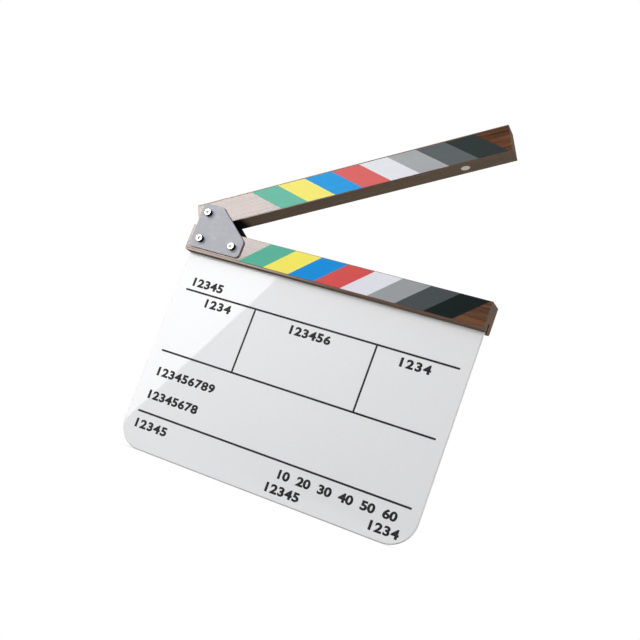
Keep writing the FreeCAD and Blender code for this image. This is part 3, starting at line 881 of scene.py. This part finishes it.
def background_share(recipe):
    """1 for rays that should see the plain white background: from the camera, a mirror or glass."""
    outputs = recipe.add("ShaderNodeLightPath").socket.node.outputs
    camera, mirror, glass = [Signal(recipe, outputs[name]) for name in BACKGROUND_RAYS]
    return camera.math("MAXIMUM", mirror).math("MAXIMUM", glass)


def build_sky(scene, studio):
    """Even light all round, which the camera and reflections see as plain white."""
    world = bpy.data.worlds.new("studio_sky")
    scene.world = world
    recipe = Recipe(world)
    light = recipe.add("ShaderNodeBackground", None, {"Strength": studio.sky, "Color": WHITE})
    plain = recipe.add("ShaderNodeBackground", None, {"Strength": 1.0, "Color": WHITE})
    recipe.blend(background_share(recipe), light, plain, output="ShaderNodeOutputWorld")


def build_floor(scene, studio):
    """Pale floor under the slate's bottom edge. It keeps the shadow and turns plain white further out."""
    mesh = bpy.data.meshes.new("floor")
    reach = FLOOR_SIZE / 2
    corners = [(-reach, -reach, 0), (reach, -reach, 0), (reach, reach, 0), (-reach, reach, 0)]
    mesh.from_pydata(corners, [], [(0, 1, 2, 3)])
    floor = bpy.data.objects.new("floor", mesh)
    floor.location.z = CAD_BOX[0][2]
    scene.collection.objects.link(floor)
    material, recipe = new_recipe("floor_paint")
    where = recipe.add("ShaderNodeNewGeometry")
    beyond = (abs(recipe.part(where, "X")) - FOOT_REACH).math("MAXIMUM", 0)
    distance = recipe.distance(beyond, recipe.part(where, "Y"))
    outer = recipe.smooth(distance, studio.clear_from, studio.clear_by)
    lifted = studio.floor_lift + outer * (1 - studio.floor_lift)
    matt = recipe.add("ShaderNodeBsdfDiffuse", None, {"Color": rgba(studio.floor)})
    plain = recipe.add("ShaderNodeEmission", None, {"Strength": 1.0, "Color": WHITE})
    recipe.blend(background_share(recipe) * lifted, matt, plain)
    mesh.materials.append(material)


def panel_frame(studio):
    """Directions along and across the light panel, in its own upright plane."""
    lean = studio.panel_lean
    along = Vector((math.sin(lean), 0, math.cos(lean)))
    across = Vector((-math.cos(lean), 0, math.sin(lean)))
    return along, across


def add_lamp(scene, name, middle, sides, width, height, level):
    """Adds a rectangular lamp with the given side directions and its face at the given level."""
    lamp = bpy.data.lights.new(name, "AREA")
    lamp.shape = "RECTANGLE"
    lamp.size = width
    lamp.size_y = height
    lamp.energy = level * math.pi * width * height
    holder = bpy.data.objects.new(name, lamp)
    facing = sides[0].cross(sides[1])
    holder.matrix_world = Matrix.Translation(middle) @ Matrix((*sides, facing)).transposed().to_4x4()
    holder.visible_camera = False
    scene.collection.objects.link(holder)
    return holder


def build_panel(scene, studio):
    """One large soft panel to the left in front."""
    along, across = panel_frame(studio)
    middle = Vector(studio.panel_edge) + across * studio.panel_width / 2 + along * studio.panel_rise
    sides = (-across, along)
    width, height = studio.panel_width, studio.panel_height
    add_lamp(scene, "soft_panel", middle, sides, width, height, studio.panel_level)


def build_lamp(scene, studio):
    """A smaller and brighter lamp above the panel, level with the sticks."""
    sides = (Vector((1, 0, 0)), Vector((0, 0, 1)))
    middle = Vector(studio.lamp_place)
    add_lamp(scene, "stick_lamp", middle, sides, studio.lamp_width, studio.lamp_height, studio.lamp_level)


def build_softbox(scene, studio, name, middle, level):
    """A softbox aimed at the middle of the part. Shiny faces don't mirror it."""
    middle = Vector(middle)
    target = (Vector(CAD_BOX[0]) + Vector(CAD_BOX[1])) / 2
    aim = (target - middle).normalized()
    aside = aim.cross(Vector((0, 0, 1))).normalized()
    sides = (aside, aside.cross(aim))
    softbox = add_lamp(scene, name, middle, sides, studio.softbox, studio.softbox, level)
    softbox.visible_glossy = False


def build_card(scene, studio):
    """Card beside the panel, which the slate mirrors. It glows with painted light near the panel and is
    dark further out.
    """
    along, across = panel_frame(studio)
    corner = Vector(studio.panel_edge)
    slope = along.x / along.z
    corners = []
    for height, shifts in ((studio.card_foot, (0, 1)), (studio.card_top, (1, 0))):
        edge_x = corner.x + (height - corner.z) * slope
        corners += [(edge_x + shift * studio.card_width, corner.y, height) for shift in shifts]
    mesh = bpy.data.meshes.new("card")
    mesh.from_pydata(corners, [], [(0, 1, 2, 3)])
    card = bpy.data.objects.new("card", mesh)
    card.visible_camera = False
    card.visible_diffuse = False
    card.visible_shadow = False
    scene.collection.objects.link(card)
    material, recipe = new_recipe("graded_card")
    where = recipe.add("ShaderNodeNewGeometry")
    from_x = recipe.part(where, "X") - corner.x
    height = recipe.part(where, "Z")
    distance = from_x * -across.x + (height - corner.z) * -across.z
    # Painted light: the card's glow stands for the panel's light falling on it
    near_panel = 1 - recipe.smooth(distance, 0, studio.card_reach)
    glow_top = studio.card_glow_top
    low_down = 1 - recipe.smooth(height, glow_top - studio.card_glow_fade, glow_top)
    dark = recipe.add("ShaderNodeBsdfDiffuse", None, {"Color": rgba(studio.card)})
    glow = recipe.add("ShaderNodeEmission", None, {"Strength": studio.card_level, "Color": WHITE})
    recipe.blend(near_panel * low_down, dark, glow)
    mesh.materials.append(material)


def build_camera(scene, studio):
    """Camera at the photographed angle."""
    lens = bpy.data.cameras.new("camera")
    lens.sensor_width = SENSOR_WIDTH
    lens.lens = studio.lens
    camera = bpy.data.objects.new("camera", lens)
    turn = Matrix.Rotation(studio.azimuth, 4, "Z")
    tilt = Matrix.Rotation(math.pi / 2 - studio.elevation, 4, "X")
    lean = Matrix.Rotation(studio.roll, 4, "Z")
    camera.matrix_world = Matrix.Translation(studio.camera) @ turn @ tilt @ lean
    scene.collection.objects.link(camera)
    scene.camera = camera


class CLAPPER_OT_stage(bpy.types.Operator):
    """Set up the floor, the light and the camera"""

    bl_idname = "clapper.stage"
    bl_label = "Stage"

    def execute(self, context):
        scene = context.scene
        studio = scene.clapper_studio
        build_sky(scene, studio)
        build_floor(scene, studio)
        build_panel(scene, studio)
        build_lamp(scene, studio)
        build_softbox(scene, studio, "front_softbox", studio.front_place, studio.front_level)
        build_softbox(scene, studio, "back_softbox", studio.back_place, studio.back_level)
        build_card(scene, studio)
        build_camera(scene, studio)
        scene.view_settings.view_transform = "Standard"
        return {"FINISHED"}


OPERATORS = (
    CLAPPER_OT_slate,
    CLAPPER_OT_form_lines,
    CLAPPER_OT_form_numbers,
    CLAPPER_OT_sticks,
    CLAPPER_OT_bands,
    CLAPPER_OT_hinge_plates,
    CLAPPER_OT_screws,
    CLAPPER_OT_small_parts,
    CLAPPER_OT_stage,
)


class CLAPPER_PT_sidebar(bpy.types.Panel):
    """Lists the steps that finish the clapperboard"""

    bl_idname = "CLAPPER_PT_sidebar"
    bl_label = "Clapperboard"
    bl_space_type = "VIEW_3D"
    bl_region_type = "UI"
    bl_category = "Clapperboard"

    def draw(self, context):
        for operator in OPERATORS:
            self.layout.operator(operator.bl_idname)


def register():
    for name, group in SETTINGS.items():
        bpy.utils.register_class(group)
        setattr(bpy.types.Scene, name, PointerProperty(type=group))
    for item in (*OPERATORS, CLAPPER_PT_sidebar):
        bpy.utils.register_class(item)


def unregister():
    for item in (CLAPPER_PT_sidebar, *reversed(OPERATORS)):
        bpy.utils.unregister_class(item)
    for name, group in reversed(SETTINGS.items()):
        delattr(bpy.types.Scene, name)
        bpy.utils.unregister_class(group)


def main():
    register()
    for operator in OPERATORS:
        family, name = operator.bl_idname.split(".")
        getattr(getattr(bpy.ops, family), name)()


if __name__ == "__main__":
    main()
